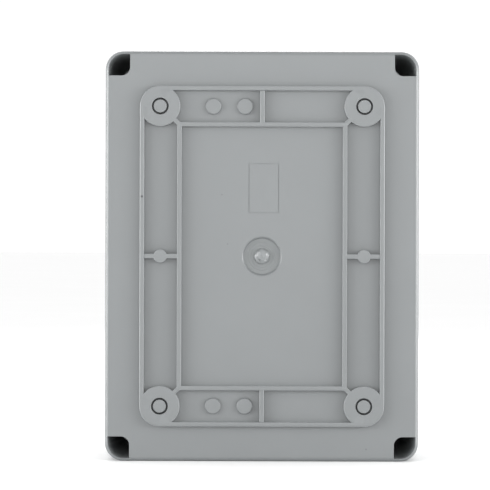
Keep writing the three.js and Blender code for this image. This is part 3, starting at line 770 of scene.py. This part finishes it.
def wire_entry(side):
    """A funnel-mouthed round hole for the wire at one end of a housing."""
    mouth = 23.75
    profile = [
        (0, CLAMP_Z), (ENTRY_RADIUS, CLAMP_Z), (ENTRY_RADIUS, mouth - 0.8),
        (ENTRY_RADIUS + 0.7, mouth), (ENTRY_RADIUS + 0.7, mouth + 2), (0, mouth + 2),
    ]
    bm = turned(profile, SMALL)
    turn = Matrix.Rotation(math.radians(90 * side), 3, "X")
    bmesh.ops.rotate(bm, verts=bm.verts[:], cent=(0, 0, 0), matrix=turn)
    middle = (CAGE["bottom"] + CAGE["floor"] + BAR[3]) / 2 - 0.2
    return moved(bm, (0, middle, 0))


def earth_profile(gap):
    """The inverted T of the earth contact, larger by gap."""
    foot, stem, top = RAIL["width"] / 2 - 0.5 + gap, 3 + gap, BAR[3] - FIT + gap
    return mirrored([
        (foot, -1 if gap else 0.05, 0), (foot, 1.4 + gap, 0), (stem, 1.4 + gap, 0), (stem, top, 0),
    ])


def terminal_housing(earthed):
    """A housing that is open on its right side, where its neighbour closes it."""
    left, right = -TERMINAL_WIDTH / 2, TERMINAL_WIDTH / 2
    inside = left + SIDE_WALL
    width, thickness, bar_end, bar_bottom = BAR
    chamber, low, high = CHAMBER
    body = soften(section(terminal_profile(), left, right), 0.25, segments=2)
    cuts = [
        block((inside, bar_bottom - 0.3, -bar_end - 0.3),
              (right + 1, bar_bottom + thickness + 0.3, bar_end + 0.3)),
        block((left - 1, 42, -4.5), (right + 1, 45, 4.5)),
    ]
    for side in (-1, 1):
        z = side * CLAMP_Z
        cuts.append(block((inside, low, z - chamber), (right + 1, high, z + chamber)))
        seat, top = CLAMP_HEAD_BOTTOM - 0.2, 38.5
        radius = CLAMP_HEAD + 0.3
        shaft = [
            (0, high - 1), (CLAMP_HOLE, high - 1), (CLAMP_HOLE, seat), (radius, seat),
            (radius, top - 0.4), (radius + 0.4, top), (radius + 0.4, 60), (0, 60),
        ]
        cuts += [moved(turned(shaft, SMALL), (0, 0, z)), wire_entry(side)]
    if earthed:
        cuts.append(section(earth_profile(0.3), -width / 2 - 0.3, right + 1))
    return carve(body, cuts)


def clamp_cage():
    """The pressed cage round the bar and the wire."""
    width, length, bottom = CAGE["width"], CAGE["length"], CAGE["bottom"]
    top = bottom + CAGE["height"]
    side = 0.8
    body = soften(block((-width / 2, bottom, -length / 2), (width / 2, top, length / 2)), 0.5)
    inside, floor = width / 2 - side, bottom + CAGE["floor"]
    window = block((-inside, floor, -length), (inside, top - CAGE["roof"], length))
    return carve(body, [window, rod(CLAMP_HOLE, floor + 1, top + 1, steps=SMALL)])


def end_stop():
    """An end stop that clamps on the rail with one screw."""
    width, height = END_STOP
    profile = mirrored([*rail_hook(), (19.5, 4, 1.5), (16, height - 6, 1.5), (10, height, 1.2)])
    body = soften(section(profile, -width / 2, width / 2), 0.3, segments=2)
    shaft = [(0, -5), (1.8, -5), (1.8, 14), (3.2, 14), (3.2, height + 1), (0, height + 1)]
    return carve(body, [turned(shaft, SMALL)])


def terminal(name, x, finishes):
    """One terminal: housing, current bar, marker tag, and a cage and screw at each end."""
    width, thickness, bar_end, bar_bottom = BAR
    place = (x, FLANGE_Y, 0)
    earthed = name == "terminal_earth"
    housing = moved(terminal_housing(earthed), place)
    finish, slot = finishes["housings"].get(name, (finishes["grey"], "housing_grey"))
    piece(f"{name}_housing_moulding", housing, finish, "base", [f"{name}_housing"])
    bar = block((-width / 2, bar_bottom, -bar_end), (width / 2, bar_bottom + thickness, bar_end))
    piece(f"{name}_bar_tinned", moved(soften(bar, 0.2, segments=2), place), finishes["tin"], "base",
          [f"{name}_bar"])
    tag = soften(block((-4.6, 42.1, -4.3), (4.6, 44.9, 4.3)), 0.35)
    piece(f"{name}_marker_tag", moved(tag, place), finishes["tag"], "base",
          [f"{name}_marker"])
    if earthed:
        contact = soften(section(earth_profile(0), -width / 2, width / 2), 0.2, segments=2)
        piece("terminal_earth_contact_strip", moved(contact, place), finishes["tin"], "base",
              ["terminal_earth_contact"])
    for end, side in (("upper", 1), ("lower", -1)):
        cage = moved(clamp_cage(), (x, FLANGE_Y, side * CLAMP_Z))
        piece(f"{name}_cage_{end}_pressed", cage, finishes["cage"], f"{name}_cage_{end}",
              [f"{name}_cage_{end}"])
        length = CLAMP_HEAD_BOTTOM - bar_bottom - thickness - 0.3
        screw = slotted_screw(CLAMP_HEAD, CLAMP_HEAD_HEIGHT, THREAD_RADIUS, length)
        screw = moved(screw, (x, FLANGE_Y + CLAMP_HEAD_BOTTOM, side * CLAMP_Z))
        piece(f"{name}_screw_{end}_slotted", screw, finishes["steel"], f"{name}_screw_{end}",
              [f"{name}_screw_{end}"])


def terminal_row(finishes):
    """The terminals, the cover of the last one and an end stop on each side."""
    for index, name in enumerate(TERMINALS):
        terminal(name, ROW_LEFT + TERMINAL_PITCH * (index + 0.5), finishes)
    cover = soften(section(terminal_profile(), 0, END_COVER), 0.25, segments=2)
    piece("terminal_end_cover_plate", moved(cover, (-ROW_LEFT - END_COVER, FLANGE_Y, 0)),
          finishes["grey"], "base", ["terminal_end_cover"])
    for name, side in (("left", -1), ("right", 1)):
        x = side * (END_STOP[0] / 2 + 0.3 - ROW_LEFT)
        piece(f"end_stop_{name}_moulding", moved(end_stop(), (x, FLANGE_Y, 0)), finishes["grey"],
              "base", [f"end_stop_{name}"])
        screw = moved(slotted_screw(2.9, 3, 1.6, 13.8), (x, FLANGE_Y + 14.1, 0))
        piece(f"end_stop_screw_{name}_slotted", screw, finishes["steel"], "base",
              [f"end_stop_screw_{name}"])


# ---------------------------------------------------------------------------------------------
# Materials
# ---------------------------------------------------------------------------------------------

def linear(colour):
    """An sRGB hex colour as linear RGBA."""
    parts = [int(colour[i:i + 2], 16) / 255 for i in (1, 3, 5)]
    return [c / 12.92 if c <= 0.04045 else ((c + 0.055) / 1.055) ** 2.4 for c in parts] + [1]


def add(tree, kind, inputs=None, **settings):
    """Adds a node, sets it up, and fills its inputs with values or links."""
    node = tree.nodes.new(kind)
    for key, value in settings.items():
        setattr(node, key, value)
    for key, value in (inputs or {}).items():
        if isinstance(value, bpy.types.NodeSocket):
            tree.links.new(value, node.inputs[key])
        else:
            node.inputs[key].default_value = value
    return node


def new_material(name):
    """An empty material with its node tree and object coordinates."""
    material = bpy.data.materials.new(name)
    material.use_nodes = True
    tree = material.node_tree
    tree.nodes.clear()
    place = add(tree, "ShaderNodeTexCoord").outputs["Object"]
    return material, tree, place


def finish_shader(tree, inputs):
    """Ends a material with its principled shader."""
    shader = add(tree, "ShaderNodeBsdfPrincipled", inputs)
    add(tree, "ShaderNodeOutputMaterial", {"Surface": shader.outputs["BSDF"]})


def across_back(tree, place):
    """Object coordinates in the plane of the back, from its middle."""
    middle = add(tree, "ShaderNodeVectorMath", {
        0: place, 1: (0, 0, HEIGHT / 2 * MM),
    }, operation="SUBTRACT")
    flattened = add(tree, "ShaderNodeVectorMath", {
        0: middle.outputs[0], 1: (1, 0, 1),
    }, operation="MULTIPLY")
    return flattened.outputs[0]


def disc_rings(tree, across, where):
    """The height of faint turning rings on the four fixing discs."""
    folded = add(tree, "ShaderNodeVectorMath", {0: across}, operation="ABSOLUTE")
    from_disc = add(tree, "ShaderNodeVectorMath", {
        0: folded.outputs[0], 1: (FIXING[0] * MM, 0, FIXING[1] * MM),
    }, operation="DISTANCE")
    wave = add(tree, "ShaderNodeMath", {
        0: from_disc.outputs["Value"], 1: math.tau / (RING_PITCH * MM),
    }, operation="MULTIPLY")
    rings = add(tree, "ShaderNodeMath", {0: wave.outputs[0]}, operation="SINE")
    on_disc = add(tree, "ShaderNodeMapRange", {
        "Value": from_disc.outputs["Value"], "From Min": (DISC_RADIUS - 0.8) * MM,
        "From Max": (DISC_RADIUS - 0.4) * MM, "To Min": 1.0, "To Max": 0.0,
    })
    share = add(tree, "ShaderNodeMath", {0: on_disc.outputs[0], 1: where}, operation="MULTIPLY")
    return add(tree, "ShaderNodeMath", {
        0: rings.outputs[0], 1: share.outputs[0],
    }, operation="MULTIPLY").outputs[0]


def round_patch(tree, colour, shade, centre, reach, strength, across, where):
    """colour with a round patch of another shade that fades out between two radii."""
    away = add(tree, "ShaderNodeVectorMath", {
        0: across, 1: (centre[0] * MM, 0, centre[1] * MM),
    }, operation="DISTANCE")
    within = add(tree, "ShaderNodeMapRange", {
        "Value": away.outputs["Value"], "From Min": reach[0] * MM, "From Max": reach[1] * MM,
        "To Min": strength, "To Max": 0.0,
    })
    share = add(tree, "ShaderNodeMath", {0: within.outputs[0], 1: where}, operation="MULTIPLY")
    return add(tree, "ShaderNodeMix", {
        "Factor": share.outputs[0], "A": colour, "B": linear(shade),
    }, data_type="RGBA").outputs["Result"]


def painted_rib_edge_highlight(tree, colour, depth):
    """colour with a painted highlight, made lighter on the rounded edges of the ribs of the back.
    """
    normal = add(tree, "ShaderNodeTexCoord").outputs["Normal"]
    facing = add(tree, "ShaderNodeSeparateXYZ", {"Vector": normal})
    square_on = add(tree, "ShaderNodeMath", {0: facing.outputs["Y"]}, operation="ABSOLUTE")
    rounded = add(tree, "ShaderNodeMapRange", {
        "Value": square_on.outputs[0], "From Min": 0.85, "From Max": 0.99,
        "To Min": 0.6, "To Max": 0.0,
    })
    on_edge = add(tree, "ShaderNodeMath", {
        0: depth, 1: (BACK_Y + HIGHLIGHT_DEPTH) * MM,
    }, operation="LESS_THAN")
    share = add(tree, "ShaderNodeMath", {
        0: rounded.outputs[0], 1: on_edge.outputs[0],
    }, operation="MULTIPLY")
    return add(tree, "ShaderNodeMix", {
        "Factor": share.outputs[0], "A": colour, "B": linear("#8A8D8E"),
    }, data_type="RGBA").outputs["Result"]


def moulded_abs():
    """ABS moulded in a spark-eroded tool: an even grey with a fine matt grain and soft highlights.

    The grain is about 0.35 mm so that it still shows; the real one is nearer 0.1 mm. The fixing
    discs keep faint turning rings of the tool, the hollow of the gate dish is darkened by painted
    shade, the plastic is whitened where the runner was torn off, the rounded edges of the ribs
    carry a painted highlight, and there are a few burnt specks.
    """
    material, tree, place = new_material("abs_moulded_spark_eroded")
    grain = add(tree, "ShaderNodeTexNoise", {"Vector": place, "Scale": 2800, "Detail": 2})
    cloud = add(tree, "ShaderNodeTexNoise", {
        "Vector": place, "Scale": 28, "Detail": 3, "Roughness": 0.6,
    })
    tone = add(tree, "ShaderNodeMix", {
        "Factor": cloud.outputs["Fac"], "A": linear("#6A6D6E"), "B": linear("#707374"),
    }, data_type="RGBA")
    depth = add(tree, "ShaderNodeSeparateXYZ", {"Vector": place}).outputs["Y"]
    on_back = add(tree, "ShaderNodeMath", {
        0: depth, 1: (FIELD_Y + MARKS_AND_SHADE_DEPTH) * MM,
    }, operation="LESS_THAN").outputs[0]
    across = across_back(tree, place)
    height = add(tree, "ShaderNodeMath", {
        0: disc_rings(tree, across, on_back), 1: 0.35, 2: grain.outputs["Fac"],
    }, operation="MULTIPLY_ADD")
    bump = add(tree, "ShaderNodeBump", {
        "Height": height.outputs[0], "Strength": 0.25, "Distance": 0.00003,
    })
    colour = tone.outputs["Result"]
    # painted shade darkens the hollow of the gate dish; the second patch is the whitened plastic of
    # the torn gate
    for shade, reach, strength in (
        ("#646868", (DISH_RADIUS - 1.9, DISH_RADIUS - 1.0), 0.45),
        ("#7D8081", (STUB_RADIUS - 0.6, STUB_RADIUS), 0.8),
    ):
        colour = round_patch(tree, colour, shade, (0, 0), reach, strength, across, on_back)
    # painted highlight: the rounded edges of the back's ribs are made lighter
    colour = painted_rib_edge_highlight(tree, colour, depth)
    for x, z, radius, strength in SPECKS:
        reach = (radius / 2, radius)
        colour = round_patch(tree, colour, "#1E1F22", (x, z), reach, strength, across, on_back)
    rough = add(tree, "ShaderNodeMapRange", {
        "Value": cloud.outputs["Fac"], "To Min": 0.34, "To Max": 0.42,
    })
    finish_shader(tree, {
        "Base Color": colour, "Roughness": rough.outputs[0], "IOR": 1.53,
        "Normal": bump.outputs["Normal"],
    })
    return material


def extruded_rubber():
    """EPDM cord: near black, dull, with a faint bloom."""
    material, tree, place = new_material("epdm_extruded")
    bloom = add(tree, "ShaderNodeTexNoise", {"Vector": place, "Scale": 180, "Detail": 3})
    colour = add(tree, "ShaderNodeMix", {
        "Factor": bloom.outputs["Fac"], "A": linear("#1C1D1E"), "B": linear("#303132"),
    }, data_type="RGBA")
    bump = add(tree, "ShaderNodeBump", {
        "Height": bloom.outputs["Fac"], "Strength": 0.2, "Distance": 0.0001,
    })
    finish_shader(tree, {
        "Base Color": colour.outputs["Result"], "Roughness": 0.78, "IOR": 1.52,
        "Normal": bump.outputs["Normal"],
    })
    return material


def metal(name, dark, light, roughness, scale, stretch):
    """A metal whose tone and polish vary along its marks; stretch sets which way they run."""
    material, tree, place = new_material(name)
    along = add(tree, "ShaderNodeMapping", {"Vector": place, "Scale": stretch})
    marks = add(tree, "ShaderNodeTexNoise", {
        "Vector": along.outputs[0], "Scale": scale, "Detail": 4,
    })
    colour = add(tree, "ShaderNodeMix", {
        "Factor": marks.outputs["Fac"], "A": linear(dark), "B": linear(light),
    }, data_type="RGBA")
    rough = add(tree, "ShaderNodeMapRange", {
        "Value": marks.outputs["Fac"], "To Min": roughness - 0.08, "To Max": roughness + 0.1,
    })
    bump = add(tree, "ShaderNodeBump", {
        "Height": marks.outputs["Fac"], "Strength": 0.12, "Distance": 0.00005,
    })
    finish_shader(tree, {
        "Base Color": colour.outputs["Result"], "Metallic": 1.0, "Roughness": rough.outputs[0],
        "Normal": bump.outputs["Normal"],
    })
    return material


def moulded_polyamide(name, dark, light):
    """Glass-filled polyamide: a saturated colour with a dry sheen and fine mottling."""
    material, tree, place = new_material(name)
    mottle = add(tree, "ShaderNodeTexNoise", {"Vector": place, "Scale": 420, "Detail": 4})
    colour = add(tree, "ShaderNodeMix", {
        "Factor": mottle.outputs["Fac"], "A": linear(dark), "B": linear(light),
    }, data_type="RGBA")
    bump = add(tree, "ShaderNodeBump", {
        "Height": mottle.outputs["Fac"], "Strength": 0.15, "Distance": 0.00005,
    })
    finish_shader(tree, {
        "Base Color": colour.outputs["Result"], "Roughness": 0.45, "IOR": 1.53,
        "Normal": bump.outputs["Normal"],
    })
    return material


def earth_polyamide():
    """Green polyamide with the yellow top that marks an earth terminal."""
    material, tree, place = new_material("polyamide_moulded_green_yellow")
    mottle = add(tree, "ShaderNodeTexNoise", {"Vector": place, "Scale": 420, "Detail": 4})
    axes = add(tree, "ShaderNodeSeparateXYZ", {"Vector": place})
    upper = add(tree, "ShaderNodeMath", {
        0: axes.outputs["Y"], 1: (FLANGE_Y + YELLOW_FROM) * MM,
    }, operation="GREATER_THAN")
    green = add(tree, "ShaderNodeMix", {
        "Factor": mottle.outputs["Fac"], "A": linear("#3F7F38"), "B": linear("#4F9145"),
    }, data_type="RGBA")
    colour = add(tree, "ShaderNodeMix", {
        "Factor": upper.outputs[0], "A": green.outputs["Result"], "B": linear("#D9C63A"),
    }, data_type="RGBA")
    finish_shader(tree, {"Base Color": colour.outputs["Result"], "Roughness": 0.45, "IOR": 1.53})
    return material


def floor_paint():
    """Matt white studio floor."""
    material, tree, place = new_material("studio_floor_matt_white")
    cloud = add(tree, "ShaderNodeTexNoise", {"Vector": place, "Scale": 3, "Detail": 2})
    colour = add(tree, "ShaderNodeMix", {
        "Factor": cloud.outputs["Fac"], "A": linear("#F4F4F4"), "B": linear("#F8F8F8"),
    }, data_type="RGBA")
    finish_shader(tree, {"Base Color": colour.outputs["Result"], "Roughness": 0.9})
    return material


# ---------------------------------------------------------------------------------------------
# Studio
# ---------------------------------------------------------------------------------------------

def camera():
    """A long lens square on to the back of the box."""
    distance = 1.5
    view_height = 0.2383
    aim = Vector((-0.0083, BACK_Y * MM, HEIGHT / 2 * MM + 0.0055))
    data = bpy.data.cameras.new("camera")
    data.sensor_width = 36
    data.lens = data.sensor_width * distance / view_height
    obj = bpy.data.objects.new("camera", data)
    bpy.context.scene.collection.objects.link(obj)
    obj.location = aim - Vector((0, distance, 0))
    obj.rotation_euler = (math.radians(90), math.radians(-0.17), 0)
    bpy.context.scene.camera = obj


def soft_light(name, place, aim, width, height, power):
    """A soft box that faces a point."""
    data = bpy.data.lights.new(name, "AREA")
    data.shape = "RECTANGLE"
    data.size = width
    data.size_y = height
    data.energy = power
    obj = bpy.data.objects.new(name, data)
    bpy.context.scene.collection.objects.link(obj)
    obj.location = place
    obj.rotation_euler = (Vector(aim) - Vector(place)).to_track_quat("-Z", "Y").to_euler()


def studio():
    """White surroundings, a pale floor and soft boxes round the box."""
    world = bpy.data.worlds.new("white_studio")
    world.use_nodes = True
    world.node_tree.nodes.clear()
    tree = world.node_tree
    sky = add(tree, "ShaderNodeBackground", {"Color": (1, 1, 1, 1), "Strength": 1.05})
    add(tree, "ShaderNodeOutputWorld", {"Surface": sky.outputs[0]})
    bpy.context.scene.world = world
    middle = (0, 0, HEIGHT / 2 * MM)
    for name, place, width, height, power in (
        ("left_soft_box", (-1.4, -0.9, 0.15), 0.9, 0.9, 19),
        ("left_edge_box", (-1.45, -0.15, 0.15), 1.2, 0.28, 13),
        ("right_soft_box", (1.4, -0.9, 0.15), 0.9, 0.9, 19),
        ("right_edge_box", (1.45, -0.15, 0.15), 1.2, 0.28, 13),
        ("front_soft_box", (0, -1.9, 0.25), 0.9, 0.9, 6),
        ("rear_soft_box", (0, 1.6, 1.1), 0.9, 0.9, 16),
    ):
        soft_light(name, place, middle, width, height, power)
    bm = bmesh.new()
    bmesh.ops.create_grid(bm, x_segments=1, y_segments=1, size=40)
    mesh = bpy.data.meshes.new("floor")
    bm.to_mesh(mesh)
    bm.free()
    mesh.materials.append(floor_paint())
    floor = bpy.data.objects.new("floor", mesh)
    bpy.context.scene.collection.objects.link(floor)
    bpy.context.scene.view_settings.view_transform = "Standard"


# ---------------------------------------------------------------------------------------------
# The whole box
# ---------------------------------------------------------------------------------------------

def main():
    camera()
    abs_grey = moulded_abs()
    steel = metal("steel_zinc_plated_bright", "#B9BCBB", "#D2D4D2", 0.3, 900, (1, 1, 1))
    finishes = {
        "grey": moulded_polyamide("polyamide_moulded_grey", "#868C8C", "#939998"),
        "tin": metal("copper_tin_plated", "#C9C7C0", "#DAD8D2", 0.28, 700, (1, 1, 0.2)),
        "cage": metal("steel_pressed_zinc_plated", "#9EA2A6", "#B6B9BC", 0.38, 800, (1, 0.3, 1)),
        "tag": moulded_polyamide("polycarbonate_moulded_white", "#D4D2CC", "#DEDCD7"),
        "steel": steel,
        "housings": {
            "terminal_neutral": (
                moulded_polyamide("polyamide_moulded_blue", "#2A66A4", "#3474B4"), "housing_blue"),
            "terminal_earth": (earth_polyamide(), "housing_green"),
        },
    }
    enclosure_base(abs_grey)
    lid(abs_grey)
    gasket(extruded_rubber())
    lid_fasteners(
        steel, moulded_polyamide("nylon_natural", "#D8D4C6", "#E4E0D4"),
        metal("brass_turned_knurled", "#B48E3E", "#D0AC5C", 0.34, 1200, (1, 4, 1)),
    )
    rail(metal("steel_rolled_galvanised", "#A9AEB2", "#C2C6C8", 0.36, 220, (0.15, 1, 1)), steel)
    terminal_row(finishes)
    studio()


main()
